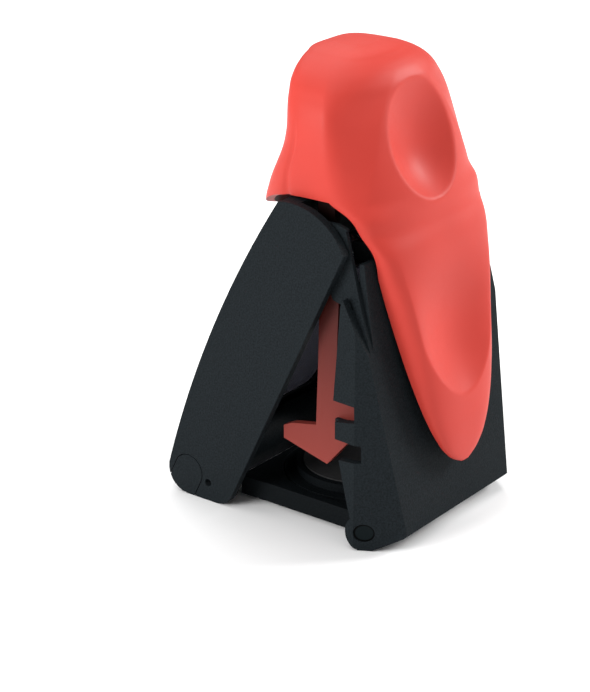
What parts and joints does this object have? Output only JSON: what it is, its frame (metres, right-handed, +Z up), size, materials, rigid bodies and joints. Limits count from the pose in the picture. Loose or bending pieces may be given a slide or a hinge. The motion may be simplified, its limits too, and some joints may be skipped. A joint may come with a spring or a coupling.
{
  "type": "folding pocket stamp",
  "caption": "Folding pocket stamp standing open on two legs, with a press cap, a hinged lid with an ink tray, a swinging carrier and a round die.",
  "frame": {"origin": "middle of the footprint on the floor the open stamp stands on", "axes": "+Z up, +X across the stamp, +Y from the housing leg towards the lid leg"},
  "size_m": [0.0524, 0.0646, 0.1055],
  "materials": {
    "black_plastic": "fine grained matte",
    "red_plastic": "satin",
    "steel": "satin",
    "black_steel": "blackened",
    "inked_felt": "matte",
    "foam": "matte",
    "rubber": "matte",
    "card": "matte"
  },
  "bodies": {
    "housing": {"housing_shell": "black_plastic", "housing_neck": "black_plastic", "carrier_pins": "black_steel", "press_springs": "steel", "post_clips": "steel"},
    "cap": {"cap_shell": "red_plastic", "press_yoke": "red_plastic", "hinge_axle": "steel", "hinge_spring": "steel"},
    "lid": {"lid_shell": "black_plastic", "lid_catch": "black_plastic"},
    "cartridge": {"pad_tray": "black_plastic", "ink_pad": "inked_felt", "tray_end": "black_plastic"},
    "carrier": {"carrier_frame": "black_plastic"},
    "die": {"die_holder": "black_plastic", "die_cushion": "foam", "rubber_die": "rubber", "die_label": "card"}
  },
  "joints": [
    {"name": "cap_press", "type": "slide", "parent": "housing", "child": "cap", "axis": [0, -0.1444, -0.9895], "range_m": [0, 0.0015], "stiffness_N_per_m": 1500, "springref_m": -0.002, "deforming": ["press_springs"]},
    {"name": "lid_fold", "type": "hinge", "parent": "cap", "child": "lid", "pos_m": [0, -0.00275, 0.0607], "axis": [1, 0, 0], "range_deg": [-22.5, 0], "stiffness_Nm_per_rad": 0.03, "springref_deg": 28.65, "deforming": ["hinge_spring"]},
    {"name": "pad_slide", "type": "slide", "parent": "lid", "child": "cartridge", "axis": [0, 0.4305, -0.9026], "range_m": [0, 0.055]},
    {"name": "carrier_fold", "type": "hinge", "parent": "housing", "child": "carrier", "pos_m": [0, -0.02205, 0.0042], "axis": [1, 0, 0], "range_deg": [0, 81.8]},
    {"name": "die_drop", "type": "slide", "parent": "carrier", "child": "die", "axis": [0, 0, -1], "range_m": [0, 0.0014]}
  ],
  "couplings": [
    {"joint": "die_drop", "follows": "cap_press", "ratio": 0.93},
    {"joint": "carrier_fold", "follows": "lid_fold", "ratio": -3.6311}
  ]
}
